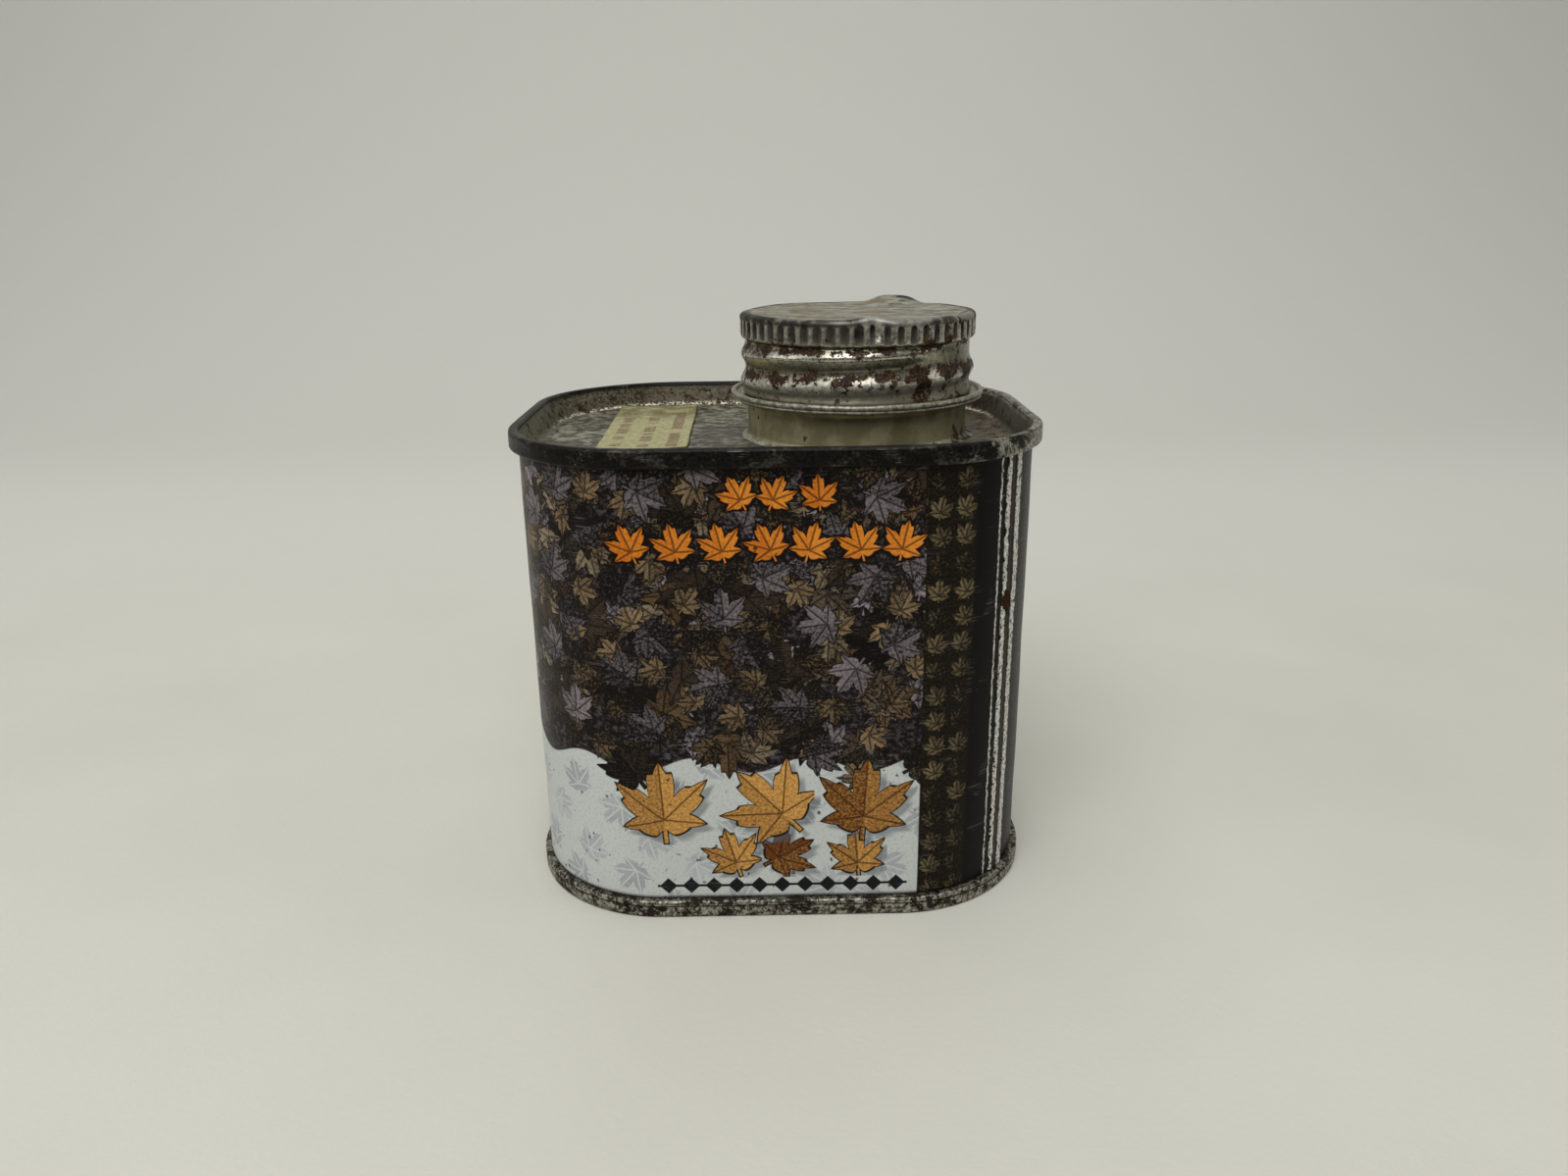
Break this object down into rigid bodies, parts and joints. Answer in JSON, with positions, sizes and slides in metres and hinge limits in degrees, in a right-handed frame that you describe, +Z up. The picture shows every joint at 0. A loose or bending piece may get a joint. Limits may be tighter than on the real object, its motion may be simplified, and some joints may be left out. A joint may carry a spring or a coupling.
{
  "type": "maple syrup tin",
  "caption": "Shut sheet-metal syrup tin with rounded corners, seamed ends, a flanged neck off the middle, a knurled screw cap with a dented top and a paper price label beside the neck.",
  "frame": {"origin": "on the table, under the middle of the tin", "axes": "+Z up, +X to the right seen from the front, the front faces -Y"},
  "size_m": [0.076, 0.0602, 0.0845],
  "materials": {
    "printed_tin": "varnished print on tinplate",
    "end_tin": "tarnished tinplate with rust",
    "neck_tin": "smooth tarnished tinplate",
    "cap_tin": "worn tinplate with rust in the grooves",
    "label_paper": "matte aged paper"
  },
  "bodies": {
    "root": {"body": "printed_tin", "top_end": "end_tin", "bottom_end": "end_tin", "neck": "neck_tin", "cap": "cap_tin", "price_label": "label_paper"}
  },
  "joints": []
}
